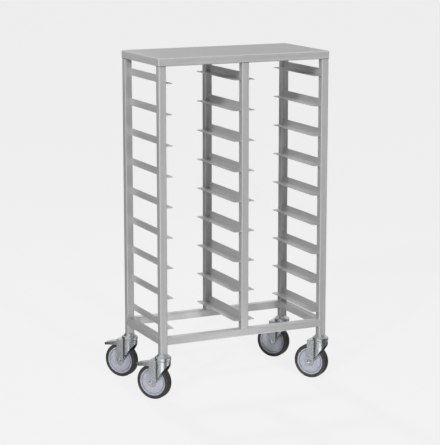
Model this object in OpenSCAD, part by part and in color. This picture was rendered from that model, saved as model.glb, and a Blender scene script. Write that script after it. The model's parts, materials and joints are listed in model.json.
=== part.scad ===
// Tray return trolley: a square tube frame with two bays of tray runners, on four swivel casters.
// The origin is on the floor, under the middle of the frame. +X is the long way, -Y is the front.

/* [Frame] */
// Side of the square tube
tube = 30; // [25:1:40]
// Wall of the square tube
tube_wall = 1.2; // [1:0.1:2]
// Outer corner radius of the square tube
tube_round = 3; // [2.5:0.5:5]
// Clear width of one bay, between its uprights
bay_width = 320; // [260:5:420]
// Depth of the frame, over the uprights
frame_depth = 375; // [300:5:600]
// Rise from the ends of the corner uprights to the base rails
base_rise = 36; // [20:1:80]

/* [Tray runners] */
// Levels in each bay
level_count = 9; // [4:1:12]
// Distance from one level to the next
level_gap = 120; // [80:1:160]
// Rise from the base rails to the lowest runner
lowest_rise = 33; // [10:1:100]
// Height of a runner's web
web_height = 29; // [20:1:40]
// Reach of a runner's flange past the uprights
flange_reach = 30; // [20:1:45]
// Lap of a flange along each upright
flange_lap = 25; // [10:1:30]
// Depth of the side runners behind the uprights' faces
side_inset = 5; // [5:0.5:12]
// Sheet thickness of a runner
runner_sheet = 1.5; // [1:0.1:2]
// Inner radius of the bend between web and flange
bend_round = 1.5; // [1:0.5:4]
// Radius of the free corners of a flange
flange_round = 8; // [3:0.5:12]

/* [Top cover] */
// Height from the top runners to the top rails
head_room = 38.5; // [20:0.5:120]
// Height of the folded rim, over the sheet
rim_height = 30; // [20:1:40]
// Sheet thickness of the cover
cover_sheet = 1.5; // [1:0.1:2]
// Outer radius of the folded edges
cover_round = 3; // [2:0.5:4]

/* [Wheel] */
// Diameter over the tyre
wheel_d = 140; // [110:1:160]
// Width of the tyre
tread_width = 35; // [26:1:40]
// Thickness of the tyre
tyre_thickness = 14; // [8:0.5:16]
// Radius of the tyre's shoulders
tread_round = 7; // [4:0.5:8]
// Width of the core's rim
rim_width = 31; // [24:1:34]
// Depth of the raised ring around the core
ring_depth = 6; // [4:0.5:8]
// Width of the groove inside the raised ring
groove_width = 3.5; // [2:0.5:6]
// Depth of that groove below the disc
groove_depth = 3; // [1:0.5:5]
// Thickness of the core's disc
disc_thickness = 25; // [18:1:26]
// Diameter of the hub
hub_d = 32; // [26:1:38]

/* [Axle] */
// Diameter of the axle bolt
axle_d = 10; // [8:1:12]
// Diameter of the sleeve that the wheel turns on
sleeve_d = 15; // [14:0.5:18]
// Diameter of the domed bolt head
bolt_head_d = 16; // [15:0.5:22]
// Height of the domed bolt head
bolt_head_h = 5; // [3:0.5:7]
// Thickness of the axle nut
axle_nut_h = 7; // [5:0.5:9]

/* [Fork] */
// Horizontal distance from the swivel axis to the axle
trail = 39; // [30:1:50]
// Sheet thickness of the fork
fork_sheet = 3; // [2:0.25:4]
// Room between the tyre and each leg
side_room = 3.5; // [3:0.5:6]
// Room between the tyre and the crown
crown_room = 18; // [17:1:40]
// Diameter of the crown
crown_d = 62; // [54:1:70]
// Half the width of a leg, which is also the radius of its end
leg_half = 11; // [10:0.5:15]
// Height of the skirt at the front of the crown
skirt_height = 14; // [6:1:20]
// Turn of the casters: 0 trails towards -X
caster_turn = 52; // [0:1:359]

/* [Swivel head] */
// Diameter of the head
head_d = 64; // [58:1:72]
// Diameter of the head's top, under the upright
head_top_d = 38; // [34:1:42]
// Height of the domed part
head_dome = 10; // [6:1:16]
// Height of the straight band
head_band = 13; // [11:1:18]
// Radius of the shoulder between dome and band
head_round = 5; // [2:0.5:6]
// Sheet thickness of the band
head_sheet = 2.5; // [2:0.25:3]
// Gap between the band and the crown
head_gap = 2; // [1:0.25:4]
// Height of the lower race above the crown
race_lift = 3.7; // [2:0.1:5]
// Diameter of a ball
ball_d = 5; // [4:0.25:6]
// Balls in a race
ball_count = 18; // [10:1:20]
// Diameter of the circle of balls
ball_circle_d = 42; // [40:1:46]
// Diameter of the stem
stem_d = 12; // [10:1:14]
// Width of the stem's nuts, over their corners
stem_nut_d = 21; // [18:1:24]
// Thickness of the stem's nuts
stem_nut_h = 7; // [5:0.5:10]
// Length of the plug in the upright
plug_length = 40; // [25:1:60]

/* [Brake pedal] */
// Distance from the axle's vertical to the pedal's pivot
pivot_back = 2; // [0:0.5:4]
// Distance from the crown down to the pivot
pivot_drop = 13; // [12:0.5:15]
// Diameter of the pivot pin
pin_d = 6; // [5:0.5:8]
// Half the height of the pedal at its pivot
pedal_half = 9.5; // [8:0.5:10]
// Reach of the pedal from its pivot to its tip
pedal_reach = 72; // [60:1:85]
// Fall from the pivot to the top of the tip
tip_fall = 8; // [4:0.5:14]
// Height of the tip
tip_height = 9; // [4:0.5:10]
// Sheet thickness of the pedal
pedal_sheet = 2.5; // [2:0.25:3]
// Radius of the tip's corners
pedal_round = 10; // [4:1:14]
// Distance from the pivot to the shoe
shoe_start = 14; // [12:1:18]
// Length of the shoe
shoe_length = 14; // [8:1:18]
// Width of the shoe
shoe_width = 25; // [16:1:27]
// Gap between the tyre and the shoe, when released
shoe_gap = 5; // [4:0.5:6]

/* [Fits] */
// Radial clearance of a shaft in its hole
shaft_clearance = 0.05; // [0.02:0.01:0.1]
// Gap between faces that turn past each other
turning_gap = 0.4; // [0.3:0.1:0.8]
// Gap between the plug and the upright's inner faces
plug_gap = 0.1; // [0.05:0.05:0.3]

/* [Hidden] */
$fn = 48;
// Overrun of every cut
cut = 1;
// Sides of a nut
hex = 6;
// Angle between the points of a round shoulder
round_step = 15;
stainless = [0.72, 0.72, 0.73];
zinc = [0.70, 0.72, 0.74];
core_grey = [0.63, 0.63, 0.69];
tyre_grey = [0.17, 0.17, 0.18];
plug_grey = [0.25, 0.25, 0.26];

// Heights, from the floor up
axle_z = wheel_d / 2;
crown_low_z = wheel_d + crown_room;
crown_top_z = crown_low_z + fork_sheet;
skirt_z = crown_top_z - skirt_height;
band_low_z = crown_top_z + head_gap;
band_top_z = band_low_z + head_band;
post_end_z = band_top_z + head_dome;
race_low_z = crown_top_z + race_lift;
ball_z = race_low_z + turning_gap + ball_d / 2;
race_high_z = ball_z + ball_d / 2;
base_low_z = post_end_z + base_rise;
base_top_z = base_low_z + tube;
lowest_z = base_top_z + lowest_rise;
highest_z = lowest_z + (level_count - 1) * level_gap;
top_low_z = highest_z + web_height + head_room;
frame_top_z = top_low_z + tube;
overall_height = frame_top_z + cover_sheet;

// Plan of the frame
frame_width = 2 * bay_width + 3 * tube;
post_x = (frame_width - tube) / 2;
post_y = (frame_depth - tube) / 2;
inner_x = frame_width / 2 - tube;
web_length = frame_depth - 2 * tube;
runner_length = web_length + 2 * flange_lap;

// Caster parts
core_d = wheel_d - 2 * tyre_thickness;
fork_gap = tread_width + 2 * side_room;
fork_half = fork_gap / 2 + fork_sheet;
tail = trail + leg_half;
hub_width = fork_gap - 2 * turning_gap;
race_d = head_d - 2 * head_sheet - 4 * turning_gap;
pivot_x = -trail - pivot_back;
pivot_z = crown_low_z - pivot_drop;
pedal_width = fork_gap - 2 * turning_gap;

// Corners: name, side along X, side along Y, and whether the caster has a brake
corners = [
    ["front_left", -1, -1, true],
    ["front_right", 1, -1, false],
    ["rear_left", -1, 1, true],
    ["rear_right", 1, 1, false],
];
braked = [for (c = corners) if (c[3]) c];

// Columns of runners: name, X of the webs' backs, the way the flanges point, depth behind the uprights' faces
columns = [
    ["left_bay_left", -inner_x - side_inset, 1, side_inset],
    ["left_bay_right", 0, -1, tube / 2],
    ["right_bay_left", 0, 1, tube / 2],
    ["right_bay_right", inner_x + side_inset, -1, side_inset],
];

// Caster pieces that every corner has
caster_kinds = ["plug", "stem", "swivel_head", "swivel_balls", "fork", "axle_bolt", "sleeve", "wheel_core", "tyre"];

// Square with round corners
module round_square(side, radius) {
    square([side - 2 * radius, side], center = true);
    square([side, side - 2 * radius], center = true);
    for (sx = [-1, 1], sy = [-1, 1])
        translate([sx, sy] * (side / 2 - radius))
            circle(radius);
}

// Square tube along +Z
module square_tube(length) {
    linear_extrude(length)
        difference() {
            round_square(tube, tube_round);
            round_square(tube - 2 * tube_wall, tube_round - tube_wall);
        }
}

module corner_post(corner) {
    color(stainless)
        translate([corner[1] * post_x, corner[2] * post_y, post_end_z])
            square_tube(frame_top_z - post_end_z);
}

module middle_post(side) {
    color(stainless)
        translate([0, side * post_y, base_top_z])
            square_tube(top_low_z - base_top_z);
}

// Rail along X, between corner posts
module long_rail(side, low_z) {
    color(stainless)
        translate([-inner_x, side * post_y, low_z + tube / 2])
            rotate([0, 90, 0])
                square_tube(2 * inner_x);
}

// Rail along Y, between corner posts
module short_rail(side, low_z) {
    inner_y = frame_depth / 2 - tube;
    color(stainless)
        translate([side * post_x, inner_y, low_z + tube / 2])
            rotate([90, 0, 0])
                square_tube(2 * inner_y);
}

// Box on z = 0 with round upright and upper edges
module folded_box(width, depth, height, radius) {
    x = width / 2 - radius;
    y = depth / 2 - radius;
    z = height - radius;
    translate([-x, -depth / 2, 0])
        cube([2 * x, depth, z]);
    translate([-width / 2, -y, 0])
        cube([width, 2 * y, z]);
    translate([-x, -y, 0])
        cube([2 * x, 2 * y, height]);
    for (sx = [-1, 1], sy = [-1, 1])
        translate([sx * x, sy * y, 0]) {
            cylinder(r = radius, h = z);
            translate([0, 0, z])
                sphere(radius);
        }
    for (sy = [-1, 1])
        translate([-x, sy * y, z])
            rotate([0, 90, 0])
                cylinder(r = radius, h = 2 * x);
    for (sx = [-1, 1])
        translate([sx * x, y, z])
            rotate([90, 0, 0])
                cylinder(r = radius, h = 2 * y);
}

module top_cover() {
    color(stainless)
        translate([0, 0, overall_height - rim_height])
            difference() {
                folded_box(frame_width + 2 * cover_sheet, frame_depth + 2 * cover_sheet, rim_height, cover_round);
                translate([-frame_width / 2, -frame_depth / 2, -cut])
                    cube([frame_width, frame_depth, rim_height - cover_sheet + cut]);
            }
}

// Area on one side of a bent sheet: everything past the two lines, with a round corner
module bend_side(low, radius, width, overrun) {
    bend = low + radius;
    translate([low, bend])
        square([width - low + overrun, web_height - bend + overrun]);
    translate([bend, low])
        square([width - bend + overrun, web_height - low + overrun]);
    translate([bend, bend])
        circle(radius);
}

// Plan of a runner: the web fits between the uprights and the flange laps past them
module runner_plan(inset, width) {
    straight = runner_length - 2 * flange_round;
    translate([0, -web_length / 2])
        square([width, web_length]);
    translate([inset, -runner_length / 2])
        square([flange_reach - flange_round, runner_length]);
    translate([inset, -straight / 2])
        square([flange_reach, straight]);
    for (side = [-1, 1])
        translate([width - flange_round, side * straight / 2])
            circle(flange_round);
}

// One runner: the web's back lies on x = 0 and the flange points to +X
module runner(inset) {
    width = inset + flange_reach;
    intersection() {
        rotate([90, 0, 0])
            linear_extrude(runner_length, center = true)
                difference() {
                    bend_side(0, bend_round + runner_sheet, width, 0);
                    bend_side(runner_sheet, bend_round, width, cut);
                }
        linear_extrude(web_height)
            runner_plan(inset, width);
    }
}

module runner_column(column) {
    color(stainless)
        for (level = [0 : level_count - 1])
            translate([column[1], 0, lowest_z + level * level_gap])
                mirror([column[2] < 0 ? 1 : 0, 0, 0])
                    runner(column[3]);
}

// Places a caster piece under its post, turned as the caster stands at rest
module at_caster(corner) {
    translate([corner[1] * post_x, corner[2] * post_y, 0])
        rotate(-caster_turn)
            children();
}

// Cylinder along the axle's direction, centred on the wheel's middle plane
module cross_rod(x, z, diameter, length) {
    translate([x, 0, z])
        rotate([90, 0, 0])
            cylinder(d = diameter, h = length, center = true);
}

module plug(corner) {
    color(plug_grey)
        translate([corner[1] * post_x, corner[2] * post_y, post_end_z])
            linear_extrude(plug_length)
                difference() {
                    round_square(tube - 2 * tube_wall - 2 * plug_gap, tube_round - tube_wall);
                    circle(d = stem_d + 2 * shaft_clearance);
                }
}

// The stem ends in a nut under the crown and in another one on the plug
module stem(corner) {
    low_z = crown_low_z - turning_gap - stem_nut_h;
    high_z = post_end_z + plug_length;
    color(zinc)
        at_caster(corner) {
            translate([0, 0, low_z])
                cylinder(d = stem_d, h = high_z + stem_nut_h - low_z);
            for (z = [low_z, high_z])
                translate([0, 0, z])
                    cylinder(d = stem_nut_d, h = stem_nut_h, $fn = hex);
        }
}

module swivel_head(corner) {
    bore = stem_d / 2 + shaft_clearance;
    inside = head_d / 2 - head_sheet;
    round_x = head_d / 2 - head_round;
    round_z = band_top_z - head_round;
    color(zinc)
        at_caster(corner)
            rotate_extrude()
                polygon(concat(
                    [[head_d / 2, band_low_z], [inside, band_low_z], [inside, race_high_z], [bore, race_high_z],
                     [bore, post_end_z], [head_top_d / 2, post_end_z]],
                    [for (a = [90 : -round_step : 0]) [round_x + head_round * cos(a), round_z + head_round * sin(a)]]
                ));
}

module swivel_balls(corner) {
    color(zinc)
        at_caster(corner)
            for (i = [0 : ball_count - 1])
                rotate(i * 360 / ball_count)
                    translate([ball_circle_d / 2, 0, ball_z])
                        sphere(d = ball_d);
}

// Plan of the fork: a round crown with a straight tail over the wheel
module crown_plan(radius, half, overrun) {
    circle(radius);
    translate([-tail - overrun, -half])
        square([tail + overrun, 2 * half]);
}

// Side of the fork: its front edge runs from the skirt to the round leg end
module fork_side() {
    reach = crown_d / 2 + trail;
    rise = skirt_z - axle_z;
    touch = atan2(rise, reach) - acos(leg_half / norm([reach, rise]));
    rotate([90, 0, 0])
        linear_extrude(crown_d, center = true) {
            translate([-trail, axle_z])
                circle(leg_half);
            polygon([[-tail, axle_z], [-tail, crown_top_z], [crown_d / 2, crown_top_z], [crown_d / 2, skirt_z],
                     [leg_half * cos(touch) - trail, axle_z + leg_half * sin(touch)]]);
        }
}

module fork(corner) {
    low_z = axle_z - leg_half;
    color(zinc)
        at_caster(corner)
            difference() {
                union() {
                    intersection() {
                        translate([0, 0, low_z])
                            linear_extrude(crown_top_z - low_z)
                                crown_plan(crown_d / 2, fork_half, 0);
                        fork_side();
                    }
                    translate([0, 0, crown_low_z])
                        cylinder(d = race_d, h = race_low_z - crown_low_z);
                }
                translate([0, 0, low_z - cut])
                    linear_extrude(crown_low_z - low_z + cut)
                        crown_plan(crown_d / 2 - fork_sheet, fork_gap / 2, cut);
                translate([0, 0, crown_low_z - cut])
                    cylinder(d = stem_d + 2 * shaft_clearance, h = race_low_z - crown_low_z + 2 * cut);
                cross_rod(-trail, axle_z, axle_d + 2 * shaft_clearance, 2 * fork_half + 2 * cut);
                if (corner[3])
                    cross_rod(pivot_x, pivot_z, pin_d + 2 * shaft_clearance, 2 * fork_half + 2 * cut);
            }
}

// Bolt with a domed head on the near leg and a nut on the far one
module axle_bolt(corner) {
    dome_r = (pow(bolt_head_d / 2, 2) + pow(bolt_head_h, 2)) / (2 * bolt_head_h);
    end = fork_half + axle_nut_h;
    color(zinc)
        at_caster(corner)
            translate([-trail, 0, axle_z])
                rotate([90, 0, 0]) {
                    translate([0, 0, -end])
                        cylinder(d = axle_d, h = end + fork_half);
                    translate([0, 0, fork_half])
                        intersection() {
                            cylinder(d = bolt_head_d, h = bolt_head_h);
                            translate([0, 0, bolt_head_h - dome_r])
                                sphere(dome_r);
                        }
                    translate([0, 0, -end])
                        difference() {
                            cylinder(d = bolt_head_d, h = axle_nut_h, $fn = hex);
                            translate([0, 0, -cut])
                                cylinder(d = axle_d + 2 * shaft_clearance, h = axle_nut_h + 2 * cut);
                        }
                }
}

module sleeve(corner) {
    color(zinc)
        at_caster(corner)
            difference() {
                cross_rod(-trail, axle_z, sleeve_d, fork_gap);
                cross_rod(-trail, axle_z, axle_d + 2 * shaft_clearance, fork_gap + 2 * cut);
            }
}

// Turns a profile of radius and width around the axle
module on_axle() {
    translate([-trail, 0, axle_z])
        rotate([90, 0, 0])
            rotate_extrude()
                children();
}

// Part of a wheel's profile between two radii
module wheel_band(low_r, high_r, width) {
    translate([low_r, -width / 2])
        square([high_r - low_r, width]);
}

module wheel_core(corner) {
    bore = sleeve_d / 2 + shaft_clearance;
    ring_r = core_d / 2 - ring_depth;
    groove_r = ring_r - groove_width;
    color(core_grey)
        at_caster(corner)
            on_axle() {
                wheel_band(bore, hub_d / 2, hub_width);
                wheel_band(bore, groove_r, disc_thickness);
                wheel_band(bore, ring_r, disc_thickness - 2 * groove_depth);
                wheel_band(ring_r, core_d / 2, rim_width);
                wheel_band(groove_r, core_d / 2, disc_thickness - 2 * groove_depth);
            }
}

module tyre(corner) {
    shoulder = wheel_d / 2 - tread_round;
    color(tyre_grey)
        at_caster(corner)
            on_axle()
                difference() {
                    union() {
                        wheel_band(core_d / 2, shoulder, tread_width);
                        wheel_band(core_d / 2, wheel_d / 2, tread_width - 2 * tread_round);
                        for (side = [-1, 1])
                            translate([shoulder, side * (tread_width / 2 - tread_round)])
                                circle(tread_round);
                    }
                    wheel_band(0, core_d / 2, tread_width);
                }
}

// Side outline of the pedal, from its pivot at the origin; drop lowers its upper edge
module pedal_outline(drop) {
    polygon([[0, pedal_half - drop], [-pedal_reach, -tip_fall - drop],
             [-pedal_reach, -tip_fall - tip_height], [0, -pedal_half]]);
    circle(pedal_half - drop);
}

module pedal_bar(width, drop) {
    translate([pivot_x, 0, pivot_z])
        rotate([90, 0, 0])
            linear_extrude(width, center = true)
                pedal_outline(drop);
}

// Plan of the pedal: straight sides and a tip with round corners
module pedal_plan() {
    tip_x = pivot_x - pedal_reach;
    front_x = pivot_x + pedal_half;
    translate([tip_x + pedal_round, -pedal_width / 2])
        square([front_x - tip_x - pedal_round, pedal_width]);
    translate([tip_x, pedal_round - pedal_width / 2])
        square([pedal_round, pedal_width - 2 * pedal_round]);
    for (side = [-1, 1])
        translate([tip_x + pedal_round, side * (pedal_width / 2 - pedal_round)])
            circle(pedal_round);
}

// Channel that is open below, with a rolled end over the pivot
module pedal_channel() {
    inside = pedal_width - 2 * pedal_sheet;
    difference() {
        pedal_bar(pedal_width, 0);
        pedal_bar(inside, pedal_sheet);
        translate([pivot_x - pedal_reach, -inside / 2, pivot_z - pedal_half - tip_fall - tip_height])
            cube([pedal_reach + pedal_half + cut, inside, tip_fall + tip_height]);
        translate([pivot_x - shoe_start, -inside / 2, pivot_z - pedal_half - cut])
            cube([shoe_start + pedal_half + cut, inside, pedal_half + cut]);
    }
}

module brake_shoe() {
    difference() {
        intersection() {
            pedal_bar(shoe_width, pedal_sheet / 2);
            translate([pivot_x - shoe_start - shoe_length, -shoe_width / 2, axle_z])
                cube([shoe_length, shoe_width, crown_top_z - axle_z]);
        }
        cross_rod(-trail, axle_z, wheel_d + 2 * shoe_gap, tread_width);
    }
}

module brake_pedal(corner) {
    color(zinc)
        at_caster(corner)
            difference() {
                union() {
                    intersection() {
                        pedal_channel();
                        translate([0, 0, axle_z])
                            linear_extrude(crown_top_z - axle_z)
                                pedal_plan();
                    }
                    brake_shoe();
                }
                cross_rod(pivot_x, pivot_z, pin_d + 2 * shaft_clearance, pedal_width + 2 * cut);
            }
}

module brake_pin(corner) {
    color(zinc)
        at_caster(corner)
            cross_rod(pivot_x, pivot_z, pin_d, 2 * fork_half + fork_sheet);
}

top_cover();
for (c = corners) {
    corner_post(c);
    plug(c);
    stem(c);
    swivel_head(c);
    swivel_balls(c);
    fork(c);
    axle_bolt(c);
    sleeve(c);
    wheel_core(c);
    tyre(c);
}
for (c = braked) {
    brake_pedal(c);
    brake_pin(c);
}
middle_post(-1);  // post_front_middle
middle_post(1);  // post_rear_middle
long_rail(-1, base_low_z);  // base_rail_front
long_rail(1, base_low_z);  // base_rail_rear
short_rail(-1, base_low_z);  // base_rail_left
short_rail(1, base_low_z);  // base_rail_right
long_rail(-1, top_low_z);  // top_rail_front
long_rail(1, top_low_z);  // top_rail_rear
short_rail(-1, top_low_z);  // top_rail_left
short_rail(1, top_low_z);  // top_rail_right
for (c = columns) {
    runner_column(c);
}
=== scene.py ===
import json
import math

import bmesh
import bpy
from mathutils import Matrix, Vector


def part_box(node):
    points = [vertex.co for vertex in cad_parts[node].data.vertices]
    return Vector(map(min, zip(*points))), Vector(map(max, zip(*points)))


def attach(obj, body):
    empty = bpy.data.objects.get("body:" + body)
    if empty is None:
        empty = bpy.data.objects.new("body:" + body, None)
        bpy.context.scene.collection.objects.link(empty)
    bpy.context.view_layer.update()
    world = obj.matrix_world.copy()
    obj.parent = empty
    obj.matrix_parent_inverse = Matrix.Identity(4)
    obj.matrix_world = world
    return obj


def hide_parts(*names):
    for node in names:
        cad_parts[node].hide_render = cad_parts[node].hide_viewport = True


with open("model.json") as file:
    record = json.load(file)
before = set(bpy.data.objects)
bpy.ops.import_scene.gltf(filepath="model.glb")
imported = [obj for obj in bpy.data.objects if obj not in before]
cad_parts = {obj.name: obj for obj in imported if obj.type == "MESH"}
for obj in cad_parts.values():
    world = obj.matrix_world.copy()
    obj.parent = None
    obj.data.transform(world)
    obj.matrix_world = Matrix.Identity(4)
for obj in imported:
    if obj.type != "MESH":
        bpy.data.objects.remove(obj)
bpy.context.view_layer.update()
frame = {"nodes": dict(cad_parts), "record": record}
scene = bpy.context.scene
scene.view_settings.view_transform = "Standard"
nodes = frame["nodes"]
behaviour = frame["record"]["behaviour"]
body_of = {name: body for body, names in behaviour["bodies"].items() for name in names}
slot_of = {part["node"]: part["material_slot"] for part in frame["record"]["subparts"]}
joint_of = {joint["name"]: joint for joint in behaviour["joints"]}

# Pieces and bumps are written in millimetres, the stage in metres.
MM = 0.001
CORNERS = ("front_left", "front_right", "rear_left", "rear_right")
BRAKED = ("front_left", "rear_left")


def swivel_place(corner):
    """Origin on the floor under the swivel's axis."""
    x, y, _ = joint_of[f"swivel_{corner}_turn"]["pos_m"]
    return Matrix.Translation((x, y, 0))


def axle_place(corner):
    """Origin in the middle of the wheel, Z along the axle towards the bolt's head."""
    joint = joint_of[f"wheel_{corner}_spin"]
    axle = -Vector(joint["axis"])
    up = Vector((0, 0, 1))
    turn = Matrix((up.cross(axle), up, axle)).transposed()
    return Matrix.Translation(joint["pos_m"]) @ turn.to_4x4()


# Materials: texture scales are repeats per metre

NOISE_LOW, NOISE_HIGH = 0.3, 0.7            # where a noise is all dark or all light
WHITE = (1.0, 1.0, 1.0)

STEEL_DARK, STEEL_LIGHT = (0.516, 0.515, 0.516), (0.581, 0.580, 0.583)
WELD_DARK, WELD_LIGHT = (0.40, 0.385, 0.365), (0.53, 0.52, 0.505)
STEEL_METALLIC = 0.55
STEEL_ROUGH = (0.33, 0.45)
LINE_ACROSS, LINE_ALONG = 1300.0, 7.0       # ground lines
STREAK_ACROSS, STREAK_ALONG = 110.0, 1.6
CLOUD_SCALE = 7.0

RIM_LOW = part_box("top_cover")[0][2]
# Painted shade: the steel darkens from clear 3.2 mm below the cover's rim to full shade 1.6 mm
# below it and behind it
RIM_SHADE_LOW, RIM_SHADE_HIGH = RIM_LOW - 3.2 * MM, RIM_LOW - 1.6 * MM
RIM_SHADE_COLOR = (0.16, 0.155, 0.15)

ZINC_DARK, ZINC_LIGHT = (0.48, 0.50, 0.51), (0.66, 0.68, 0.69)
ZINC_TINTS = [(0.30, (0.94, 0.99, 1.0)), (0.55, WHITE), (0.72, (1.0, 0.985, 0.94))]
ZINC_ROUGH = (0.24, 0.38)
CRYSTAL_SCALE, TINT_SCALE, ZINC_GRAIN_SCALE = 420.0, 26.0, 900.0

BALL_DARK, BALL_LIGHT = (0.52, 0.52, 0.53), (0.62, 0.62, 0.63)
BALL_ROUGH = (0.10, 0.20)
SCRATCH_SCALES = [1600.0, 1600.0, 60.0]

MOTTLE_SCALE = 60.0
MOULD_ROUGH_SWING = 0.06


def new_material(name):
    material = bpy.data.materials.new(name)
    material.use_nodes = True
    tree = material.node_tree
    return material, tree, tree.nodes["Principled BSDF"]


def add(tree, kind, **settings):
    node = tree.nodes.new(kind)
    for key, value in settings.items():
        if key in node.inputs:
            node.inputs[key].default_value = value
        else:
            setattr(node, key, value)
    return node


def texture(tree, kind, scales, **settings):
    """Texture in object space, with one scale per axis."""
    coord = add(tree, "ShaderNodeTexCoord")
    mapping = add(tree, "ShaderNodeMapping")
    mapping.inputs["Scale"].default_value = scales
    node = add(tree, kind, Scale=1.0, **settings)
    tree.links.new(coord.outputs["Object"], mapping.inputs["Vector"])
    tree.links.new(mapping.outputs["Vector"], node.inputs["Vector"])
    return node


def noise(tree, scales, detail):
    return texture(tree, "ShaderNodeTexNoise", scales, Detail=detail).outputs["Fac"]


def ramp(tree, value, stops):
    """Colour between the stops, which are (position, colour)."""
    node = add(tree, "ShaderNodeValToRGB")
    elements = node.color_ramp.elements
    while len(elements) < len(stops):
        elements.new(0.5)
    for element, (position, color) in zip(elements, stops):
        element.position = position
        element.color = (*color, 1)
    tree.links.new(value, node.inputs["Fac"])
    return node.outputs["Color"]


def mottled(tree, value, dark, light):
    """Colour that follows a noise."""
    return ramp(tree, value, [(NOISE_LOW, dark), (NOISE_HIGH, light)])


def spread(tree, value, low, high, from_low=0.25, from_high=0.75):
    """Number between low and high that follows a value."""
    node = add(tree, "ShaderNodeMapRange")
    node.inputs["From Min"].default_value = from_low
    node.inputs["From Max"].default_value = from_high
    node.inputs["To Min"].default_value = low
    node.inputs["To Max"].default_value = high
    tree.links.new(value, node.inputs["Value"])
    return node.outputs["Result"]


def multiply(tree, color, shade):
    mix = add(tree, "ShaderNodeMix", data_type="RGBA", blend_type="MULTIPLY")
    mix.inputs["Factor"].default_value = 1.0
    tree.links.new(color, mix.inputs["A"])
    tree.links.new(shade, mix.inputs["B"])
    return mix.outputs["Result"]


def relief(tree, bsdf, heights):
    """Chain of bumps: (height, strength, depth in mm)."""
    normal = None
    for height, strength, depth in heights:
        bump = add(tree, "ShaderNodeBump", Strength=strength, Distance=depth * MM)
        tree.links.new(height, bump.inputs["Height"])
        if normal:
            tree.links.new(normal, bump.inputs["Normal"])
        normal = bump.outputs["Normal"]
    tree.links.new(normal, bsdf.inputs["Normal"])


def paint_rim_shade(tree, color):
    """Paints shade on the steel behind the cover's rim and in a narrow band below it."""
    coord = add(tree, "ShaderNodeTexCoord")
    place = add(tree, "ShaderNodeSeparateXYZ")
    tree.links.new(coord.outputs["Object"], place.inputs["Vector"])
    depth = spread(tree, place.outputs["Z"], 0.0, 1.0, RIM_SHADE_LOW, RIM_SHADE_HIGH)
    return multiply(tree, color, ramp(tree, depth, [(0.0, WHITE), (1.0, RIM_SHADE_COLOR)]))


def stainless(name, grain, dark=STEEL_DARK, light=STEEL_LIGHT, painted_rim_shade=False):
    """Satin ground stainless steel, with the grain along one axis, and if asked painted shade under
    the cover's rim.
    """
    material, tree, bsdf = new_material(name)
    along = "XYZ".index(grain)
    line_scales, streak_scales = [LINE_ACROSS] * 3, [STREAK_ACROSS] * 3
    line_scales[along], streak_scales[along] = LINE_ALONG, STREAK_ALONG
    lines = noise(tree, line_scales, detail=3.0)
    streaks = noise(tree, streak_scales, detail=4.0)
    cloud = noise(tree, [CLOUD_SCALE] * 3, detail=5.0)
    color = mottled(tree, streaks, dark, light)
    # painted shade under and behind the cover's rim
    if painted_rim_shade:
        color = paint_rim_shade(tree, color)
    tree.links.new(color, bsdf.inputs["Base Color"])
    tree.links.new(spread(tree, cloud, *STEEL_ROUGH), bsdf.inputs["Roughness"])
    relief(tree, bsdf, [(cloud, 0.05, 0.3), (lines, 0.10, 0.2)])
    bsdf.inputs["Metallic"].default_value = STEEL_METALLIC
    return material


def plated():
    """Bright zinc plating, with fine crystals and a faint blue and straw tint."""
    material, tree, bsdf = new_material("zinc_plate")
    cells = texture(tree, "ShaderNodeTexVoronoi", [CRYSTAL_SCALE] * 3)
    tint = noise(tree, [TINT_SCALE] * 3, detail=3.0)
    fine = noise(tree, [ZINC_GRAIN_SCALE] * 3, detail=2.0)
    crystal = add(tree, "ShaderNodeSeparateColor")
    tree.links.new(cells.outputs["Color"], crystal.inputs["Color"])
    base = ramp(tree, crystal.outputs["Red"], [(0.0, ZINC_DARK), (1.0, ZINC_LIGHT)])
    color = multiply(tree, base, ramp(tree, tint, ZINC_TINTS))
    rough = spread(tree, crystal.outputs["Green"], *ZINC_ROUGH, 0.0, 1.0)
    tree.links.new(color, bsdf.inputs["Base Color"])
    tree.links.new(rough, bsdf.inputs["Roughness"])
    relief(tree, bsdf, [(fine, 0.10, 0.2)])
    bsdf.inputs["Metallic"].default_value = 1.0
    return material


def polished():
    """Polished bearing steel, with faint scratches."""
    material, tree, bsdf = new_material("bearing_steel")
    scratch = noise(tree, SCRATCH_SCALES, detail=4.0)
    color = mottled(tree, scratch, BALL_DARK, BALL_LIGHT)
    tree.links.new(color, bsdf.inputs["Base Color"])
    tree.links.new(spread(tree, scratch, *BALL_ROUGH), bsdf.inputs["Roughness"])
    relief(tree, bsdf, [(scratch, 0.05, 0.05)])
    bsdf.inputs["Metallic"].default_value = 1.0
    return material


def moulded(name, dark, light, rough, grain_scale, grain):
    """Moulded plastic or rubber: mottled colour and a fine grain."""
    material, tree, bsdf = new_material(name)
    mottle = noise(tree, [MOTTLE_SCALE] * 3, detail=6.0)
    fine = noise(tree, [grain_scale] * 3, detail=2.0)
    roughness = spread(tree, fine, rough - MOULD_ROUGH_SWING, rough + MOULD_ROUGH_SWING)
    tree.links.new(mottled(tree, mottle, dark, light), bsdf.inputs["Base Color"])
    tree.links.new(roughness, bsdf.inputs["Roughness"])
    relief(tree, bsdf, [(mottle, 0.08, 0.5), (fine, grain, 0.15)])
    return material


steel = {axis: stainless(f"stainless_{axis.lower()}", axis) for axis in "XYZ"}
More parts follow.
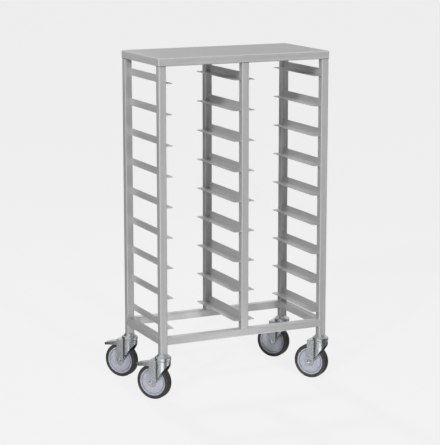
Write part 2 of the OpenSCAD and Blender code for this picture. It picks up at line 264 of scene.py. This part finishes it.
# copies of the steel with painted shade under the cover's rim, for the uprights and top rails
steel_painted_rim_shade = {
    axis: stainless(f"stainless_{axis.lower()}_painted_rim_shade", axis, painted_rim_shade=True)
    for axis in "XYZ"}
weld = stainless("weld_bead", "Z", WELD_DARK, WELD_LIGHT)
finish_of = {
    "zinc": plated(),
    "bearing": polished(),
    "core": moulded("core_plastic", (0.265, 0.272, 0.315), (0.330, 0.339, 0.390),
                    rough=0.42, grain_scale=1100.0, grain=0.12),
    "tyre": moulded("tyre_rubber", (0.017, 0.017, 0.018), (0.031, 0.031, 0.033),
                    rough=0.58, grain_scale=700.0, grain=0.25),
    "plug": moulded("plug_plastic", (0.040, 0.040, 0.042), (0.060, 0.060, 0.062),
                    rough=0.5, grain_scale=1200.0, grain=0.2),
}


def steel_of(name):
    """Steel with the grain along the tube or sheet, and painted shade where the rim covers it."""
    group = steel_painted_rim_shade if name.startswith(("post_", "top_rail_")) else steel
    if name.startswith("post_"):
        return group["Z"]
    if name.endswith(("rail_left", "rail_right")) or name.startswith("runners_"):
        return group["Y"]
    return group["X"]


def material_of(name):
    return steel_of(name) if slot_of[name] == "stainless" else finish_of[slot_of[name]]


# Pieces

SHARP_ANGLE, SEAM_SHARP_ANGLE = 30, 60      # a piece's edge stays sharp in shading above these
EASED_ANGLE = 40                            # an edge of a CAD node is eased above this
FLAT_ANGLE = 0.5                            # faces of a CAD node are joined below this
JOIN_DISTANCE = 1e-6                        # in metres, as the next
LEVEL_TOLERANCE = 1e-5
replaced = set()                            # CAD nodes that a piece stands for


def finish_piece(name, bm, node, seam=False):
    """Turns a mesh in the frame's place into a piece that stands for a node, or a seam on it."""
    bmesh.ops.recalc_face_normals(bm, faces=bm.faces)
    mesh = bpy.data.meshes.new(name)
    bm.to_mesh(mesh)
    bm.free()
    mesh.shade_smooth()
    mesh.set_sharp_from_angle(angle=math.radians(SEAM_SHARP_ANGLE if seam else SHARP_ANGLE))
    mesh.materials.append(weld if seam else material_of(node))
    piece = bpy.data.objects.new(name, mesh)
    scene.collection.objects.link(piece)
    weighted = piece.modifiers.new("weighted", "WEIGHTED_NORMAL")
    weighted.keep_sharp = True
    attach(piece, body_of[node])
    if not seam:
        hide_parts(node)
        replaced.add(node)


def rounded(points, steps):
    """Closed outline in which each corner (x, y, radius) is an arc."""
    outline = []
    for i, (x, y, radius) in enumerate(points):
        here = Vector((x, y))
        if radius == 0:
            outline.append(here)
            continue
        before = (Vector(points[i - 1][:2]) - here).normalized()
        after = (Vector(points[(i + 1) % len(points)][:2]) - here).normalized()
        half = before.angle(after) / 2
        centre = here + (before + after).normalized() * (radius / math.sin(half))
        start = here + before * (radius / math.tan(half)) - centre
        end = here + after * (radius / math.tan(half)) - centre
        turn = start.angle_signed(end)
        for step in range(steps + 1):
            outline.append(centre + Matrix.Rotation(-turn * step / steps, 2) @ start)
    return outline


def lathe(outline, place, segments=96):
    """Turns an outline of (radius, height) in mm around the Z axis of a place."""
    bm = bmesh.new()
    rings = []
    for segment in range(segments):
        angle = 2 * math.pi * segment / segments
        along_x, along_y = math.cos(angle), math.sin(angle)
        rings.append([
            bm.verts.new(place @ (Vector((p[0] * along_x, p[0] * along_y, p[1])) * MM))
            for p in outline])
    for segment, ring in enumerate(rings):
        following = rings[(segment + 1) % segments]
        for i in range(len(outline)):
            j = (i + 1) % len(outline)
            bm.faces.new((ring[i], ring[j], following[j], following[i]))
    return bm


def cleaned(name):
    """Copy of a CAD node's mesh, with joined corners and whole flat faces."""
    bm = bmesh.new()
    bm.from_mesh(nodes[name].data)
    bmesh.ops.remove_doubles(bm, verts=bm.verts, dist=JOIN_DISTANCE)
    bmesh.ops.dissolve_limit(bm, angle_limit=math.radians(FLAT_ANGLE), verts=bm.verts,
                             edges=bm.edges)
    return bm


def sharp_edges(bm):
    limit = math.radians(EASED_ANGLE)
    return [edge for edge in bm.edges
            if len(edge.link_faces) == 2 and edge.is_convex and edge.calc_face_angle() > limit]


def at_height(edge, z):
    return all(abs(vert.co.z - z * MM) < LEVEL_TOLERANCE for vert in edge.verts)


def ease(bm, edges, width, segments=2):
    """Rounds the edges."""
    bmesh.ops.bevel(bm, geom=edges, offset=width * MM, offset_type="OFFSET", segments=segments,
                    profile=0.5, affect="EDGES", clamp_overlap=True)


# Outlines of the turned pieces: (radius, height, rounding)
HEAD_LOW, HEAD_TOP = (corner_point.z / MM for corner_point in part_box("swivel_head_front_left"))
HEAD_SHOULDER = HEAD_TOP - 10
RACE_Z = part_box("swivel_balls_front_left")[1].z / MM
TYRE = rounded([(56, -17.5, 0.8), (70, -17.5, 7), (70, 17.5, 7), (56, 17.5, 0.8)], steps=7)
CORE_SIDE = [(7.55, 20.6, 0.3), (16, 20.6, 1.5), (16, 12.9, 2), (46.5, 12.5, 1.0),
             (46.5, 9.5, 0.8), (50, 9.5, 0.8), (50, 15.5, 1.8), (56, 15.5, 0.4)]
CORE = rounded(CORE_SIDE + [(r, -h, f) for r, h, f in reversed(CORE_SIDE)], steps=5)
HEAD = rounded([(6.05, RACE_Z, 0), (29.5, RACE_Z, 0.6), (29.5, HEAD_LOW, 0.6),
                (32, HEAD_LOW, 0.8), (32, HEAD_SHOULDER, 4.5), (26, HEAD_SHOULDER, 2.5),
                (19, HEAD_TOP, 1.2), (6.05, HEAD_TOP, 0)], steps=6)

# Eased edges of the pressed pieces
CROWN_GAP = 2                               # between the fork's crown and the swivel head
CROWN_TOP = HEAD_LOW - CROWN_GAP
CROWN_EASE, FORK_EASE, BOLT_EASE, PEDAL_EASE = 2.6, 0.5, 0.5, 0.6

for corner in CORNERS:
    axle, swivel = axle_place(corner), swivel_place(corner)
    finish_piece(f"tyre_tread_{corner}", lathe(TYRE, axle, segments=128), f"tyre_{corner}")
    finish_piece(f"wheel_disc_{corner}", lathe(CORE, axle), f"wheel_core_{corner}")
    finish_piece(f"swivel_bell_{corner}", lathe(HEAD, swivel), f"swivel_head_{corner}")
    bm = cleaned(f"fork_{corner}")
    crown = [edge for edge in sharp_edges(bm) if at_height(edge, CROWN_TOP)]
    ease(bm, crown, CROWN_EASE, segments=4)
    ease(bm, sharp_edges(bm), FORK_EASE)
    finish_piece(f"pressed_fork_{corner}", bm, f"fork_{corner}")
    bm = cleaned(f"axle_bolt_{corner}")
    ease(bm, sharp_edges(bm), BOLT_EASE)
    finish_piece(f"axle_bolt_and_nut_{corner}", bm, f"axle_bolt_{corner}")
for corner in BRAKED:
    bm = cleaned(f"brake_pedal_{corner}")
    ease(bm, sharp_edges(bm), PEDAL_EASE)
    finish_piece(f"pedal_channel_{corner}", bm, f"brake_pedal_{corner}")

# Weld seams

RIPPLE_PITCH, RIPPLE_HEIGHT = 2.2, 0.07
SEAM_TAPER = (0.45, 0.82, 1.0)              # of the radius, from each end
SEAM_SIDES = 8
SIDES = (-1, 1)


def bead(bm, start, end, radius):
    """Weld seam between two points in mm, with ripples and round ends."""
    start, end = Vector(start), Vector(end)
    axis = (end - start).normalized()
    side = axis.orthogonal().normalized()
    up = axis.cross(side)
    count = 2 * round((end - start).length / RIPPLE_PITCH)
    angles = [2 * math.pi * k / SEAM_SIDES for k in range(SEAM_SIDES)]
    rings = []
    for i in range(count + 1):
        taper = SEAM_TAPER[min(i, count - i, len(SEAM_TAPER) - 1)]
        size = radius * taper * (1 + RIPPLE_HEIGHT * (-1) ** i)
        centre = start.lerp(end, i / count)
        rings.append([
            bm.verts.new((centre + (side * math.cos(a) + up * math.sin(a)) * size) * MM)
            for a in angles])
    for ring, following in zip(rings, rings[1:]):
        for k in range(SEAM_SIDES):
            j = (k + 1) % SEAM_SIDES
            bm.faces.new((ring[k], ring[j], following[j], following[k]))
    bm.faces.new(rings[0])
    bm.faces.new(reversed(rings[-1]))


# On the base: rails on the corner uprights, middle uprights on the rails
HALF_TUBE, HALF_FLAT = 15, 12               # half of a tube, and of its flat face
INNER_SEAM, FACE_SEAM = 1.6, 1.5            # radius in a corner, and in a joint flush with a face
FACE_DEPTH, FACE_SHIFT = 1.6, 0.7           # a flush seam lies this far in, and off the joint
base_low, base_high = (p.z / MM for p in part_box("base_rail_front"))
base_middle = (base_low + base_high) / 2
rail_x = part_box("base_rail_front")[1].x / MM
post_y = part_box("post_rear_middle")[0].y / MM + HALF_TUBE
post_x, rail_y = rail_x + HALF_TUBE, post_y - HALF_TUBE
face_x, face_y = post_x + HALF_TUBE - FACE_DEPTH, post_y + HALF_TUBE - FACE_DEPTH


def seam_x(bm, x, y, z, radius):
    bead(bm, (x - HALF_FLAT, y, z), (x + HALF_FLAT, y, z), radius)


def seam_y(bm, x, y, z, radius):
    bead(bm, (x, y - HALF_FLAT, z), (x, y + HALF_FLAT, z), radius)


def seam_z(bm, x, y, z, radius):
    bead(bm, (x, y, z - HALF_FLAT), (x, y, z + HALF_FLAT), radius)


bm = bmesh.new()
for sx in SIDES:
    for sy in SIDES:
        for z in (base_low, base_high):
            seam_y(bm, sx * rail_x, sy * post_y, z, INNER_SEAM)
            seam_x(bm, sx * post_x, sy * rail_y, z, INNER_SEAM)
        seam_z(bm, sx * (rail_x + FACE_SHIFT), sy * face_y, base_middle, FACE_SEAM)
        seam_z(bm, sx * face_x, sy * (rail_y + FACE_SHIFT), base_middle, FACE_SEAM)
        seam_y(bm, sx * HALF_TUBE, sy * post_y, base_high, INNER_SEAM)
for sy in SIDES:
    seam_x(bm, 0, sy * face_y, base_high - FACE_SHIFT, FACE_SEAM)
finish_piece("weld_seams_base", bm, "base_rail_front", seam=True)

# On the runners: webs and flanges on the uprights
LEVELS, LEVEL_GAP = 9, 120
WEB_SEAM, WEB_SEAM_LOW, WEB_SEAM_HIGH = 1.3, 4, 27
WEB_OFFSET, WEB_SHIFT = 1.5, 0.3            # the runners' sheet, and the seam off its face
FLANGE_SEAM, FLANGE_SEAM_START, FLANGE_SEAM_END = 1.2, 3, 18
FLANGE_SEAM_Z = 1.6                         # above the flange's lower face
COLUMNS = (("left_bay_left", -rail_x, 1), ("left_bay_right", -HALF_TUBE, -1),
           ("right_bay_left", HALF_TUBE, 1), ("right_bay_right", rail_x, -1))
for column, flange_x, way in COLUMNS:
    low, high = (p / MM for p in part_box(f"runners_{column}"))
    web_x = (low.x if way > 0 else high.x) + way * WEB_OFFSET + way * WEB_SHIFT
    bm = bmesh.new()
    for level in range(LEVELS):
        z = low.z + level * LEVEL_GAP
        flange_z = z + FLANGE_SEAM_Z
        for sy in SIDES:
            web_y = sy * rail_y
            bead(bm, (web_x, web_y, z + WEB_SEAM_LOW), (web_x, web_y, z + WEB_SEAM_HIGH), WEB_SEAM)
            bead(bm, (flange_x, sy * (rail_y + FLANGE_SEAM_START), flange_z),
                 (flange_x, sy * (rail_y + FLANGE_SEAM_END), flange_z), FLANGE_SEAM)
    finish_piece(f"weld_seams_{column}", bm, f"runners_{column}", seam=True)

# CAD nodes that stay get their finish
for name in nodes:
    if name not in replaced:
        mesh = nodes[name].data
        mesh.materials.clear()
        mesh.materials.append(material_of(name))

# Stage, in metres

FLOOR_SIZE = 120
FLOOR_COLOR = (0.86, 0.86, 0.86, 1)         # as the lamps light it
FLOOR_ROUGH, FLOOR_SPECULAR = 0.9, 0.1
FLOOR_GLOW = 0.95                           # share that glows; the rest is lit and takes the shadow
BACKDROP, HORIZON = 0.885, 0.858            # the floor and the world as they are seen
ROOM = (0.10, 0.10, 0.102, 1)               # the world as it lights the object


def grey(level):
    return (level, level, level, 1)


def pale_rays(tree):
    """One for rays that see the background: from the camera, off gloss and through glass."""
    path = add(tree, "ShaderNodeLightPath")
    first = add(tree, "ShaderNodeMath", operation="MAXIMUM")
    both = add(tree, "ShaderNodeMath", operation="MAXIMUM")
    tree.links.new(path.outputs["Is Camera Ray"], first.inputs[0])
    tree.links.new(path.outputs["Is Glossy Ray"], first.inputs[1])
    tree.links.new(first.outputs[0], both.inputs[0])
    tree.links.new(path.outputs["Is Transmission Ray"], both.inputs[1])
    return both.outputs[0]


def mix_shaders(tree, factor, first, second, output):
    mix = add(tree, "ShaderNodeMixShader")
    tree.links.new(factor, mix.inputs["Fac"])
    tree.links.new(first.outputs[0], mix.inputs[1])
    tree.links.new(second.outputs[0], mix.inputs[2])
    tree.links.new(mix.outputs[0], tree.nodes[output].inputs["Surface"])


bpy.ops.mesh.primitive_plane_add(size=FLOOR_SIZE, location=(0, 0, 0))
floor = bpy.context.object
floor.name = "floor"
material, tree, bsdf = new_material("floor")
bsdf.inputs["Base Color"].default_value = FLOOR_COLOR
bsdf.inputs["Roughness"].default_value = FLOOR_ROUGH
bsdf.inputs["Specular IOR Level"].default_value = FLOOR_SPECULAR
glow = add(tree, "ShaderNodeEmission", Color=grey(BACKDROP), Strength=1.0)
glow_share = add(tree, "ShaderNodeMath", operation="MULTIPLY")
glow_share.inputs[1].default_value = FLOOR_GLOW
tree.links.new(pale_rays(tree), glow_share.inputs[0])
mix_shaders(tree, glow_share.outputs[0], bsdf, glow, "Material Output")
floor.data.materials.append(material)

world = bpy.data.worlds.new("studio")
world.use_nodes = True
scene.world = world
tree = world.node_tree
room = tree.nodes["Background"]
room.inputs["Color"].default_value = ROOM
pale = add(tree, "ShaderNodeBackground", Color=grey(HORIZON), Strength=1.0)
mix_shaders(tree, pale_rays(tree), room, pale, "World Output")

# Flags: grey cards that only reflections see, for the darker and lighter sides of a studio

FAN_STEPS, SCREEN_STEPS = 8, 3
SCREEN_REACH, SCREEN_TOP = 0.20, 0.145


def card(name, corners, level):
    mesh = bpy.data.meshes.new(name)
    mesh.from_pydata(corners, [], [range(len(corners))])
    flag = bpy.data.objects.new(name, mesh)
    scene.collection.objects.link(flag)
    material, tree, _ = new_material(name)
    glow = add(tree, "ShaderNodeEmission", Color=grey(level), Strength=1.0)
    tree.links.new(glow.outputs[0], tree.nodes["Material Output"].inputs["Surface"])
    mesh.materials.append(material)
    flag.visible_camera = False
    flag.visible_diffuse = False
    flag.visible_shadow = False
    flag.visible_transmission = False


def wall(name, start, end, low, high, level):
    card(name, [(*start, low), (*end, low), (*end, high), (*start, high)], level)


def floor_card(name, left, right, near, far, lift, level):
    """Rectangle just above the floor."""
    card(name, [(left, near, lift), (right, near, lift), (right, far, lift), (left, far, lift)],
         level)


def around(corner, start, end, steps, reach):
    """Points on an arc around a caster, between two angles left of the front."""
    x, y, _ = joint_of[f"swivel_{corner}_turn"]["pos_m"]
    angles = [math.radians(start + (end - start) * step / steps) for step in range(steps + 1)]
    return [(x - reach * math.sin(angle), y - reach * math.cos(angle)) for angle in angles]


def fan(corner, side, start, end, reach, lift, level):
    """Sector just above the floor around a caster."""
    x, y, _ = joint_of[f"swivel_{corner}_turn"]["pos_m"]
    arc = around(corner, start, end, FAN_STEPS, reach)
    card(f"flag_{side}_{corner}", [(x, y, lift)] + [(*point, lift) for point in arc], level)


def screen(corner, side, start, end, level):
    """Low upright strip close to a caster."""
    arc = around(corner, start, end, SCREEN_STEPS, SCREEN_REACH)
    for step in range(SCREEN_STEPS):
        wall(f"flag_{side}_{corner}_{step + 1}", arc[step], arc[step + 1], 0.0, SCREEN_TOP, level)


for corner in CORNERS:
    fan(corner, "front", 12, 50, reach=0.62, lift=0.0014, level=2.1)
    fan(corner, "left", 58, 92, reach=0.85, lift=0.0016, level=0.46)
    fan(corner, "right", -95, -30, reach=0.65, lift=0.0012, level=0.15)
    screen(corner, "behind", 96, 165, level=0.06)
    screen(corner, "far", -165, -80, level=0.10)
wall("flag_left", (-1.2, 0.35), (-1.6, 1.6), low=0.0, high=1.3, level=0.10)
wall("flag_rear_left", (-1.6, 1.6), (-0.1, 2.27), low=0.0, high=1.2, level=0.12)
wall("flag_rear_right", (0.6, 2.6), (2.6, 2.0), low=1.85, high=2.8, level=0.05)
wall("flag_front_right", (-0.4, -1.5), (2.2, -0.9), low=0.0, high=1.7, level=0.14)
floor_card("flag_front_floor", left=-0.5, right=1.3, near=-1.45, far=-0.25, lift=0.0008,
           level=0.10)
floor_card("flag_floor", left=-1.6, right=0.5, near=0.3, far=2.3, lift=0.001, level=0.15)


# Lamps: reflections don't see them, so flat steel doesn't glare from behind

def lamp(name, position, target, size, power, beam=180):
    data = bpy.data.lights.new(name, "AREA")
    data.shape = "RECTANGLE"
    data.size, data.size_y = size
    data.energy = power
    data.spread = math.radians(beam)
    lamp_object = bpy.data.objects.new(name, data)
    scene.collection.objects.link(lamp_object)
    lamp_object.location = position
    direction = Vector(target) - Vector(position)
    lamp_object.rotation_euler = direction.to_track_quat("-Z", "Y").to_euler()
    lamp_object.visible_camera = False
    lamp_object.visible_glossy = False


MIDDLE = (0, 0, 0.7)
lamp("key", (-8.68, -8.10, 8.12), MIDDLE, size=(0.8, 1.5), power=1450)
lamp("front", (0, -12.36, 7.27), MIDDLE, size=(0.8, 2.5), power=1000)
lamp("low", (-5.3, -1.9, 0.9), (0, 0, 0.9), size=(2.0, 1.2), power=24)
lamp("back", (0.5, 13.07, 5.72), MIDDLE, size=(1.5, 0.8), power=40, beam=24)

# Camera, fitted to the frame's edges in the photograph
CAMERA_PLACE = (-2.8185, -5.9853, 1.9688)
YAW, PITCH = 25.038, 11.28
SENSOR_WIDTH, LENS = 36.0, 136.618
camera_data = bpy.data.cameras.new("camera")
camera = bpy.data.objects.new("camera", camera_data)
scene.collection.objects.link(camera)
camera.location = CAMERA_PLACE
camera.rotation_euler = (math.radians(90 - PITCH), 0, math.radians(-YAW))
camera_data.sensor_fit = "HORIZONTAL"
camera_data.sensor_width = SENSOR_WIDTH
camera_data.lens = LENS
scene.camera = camera
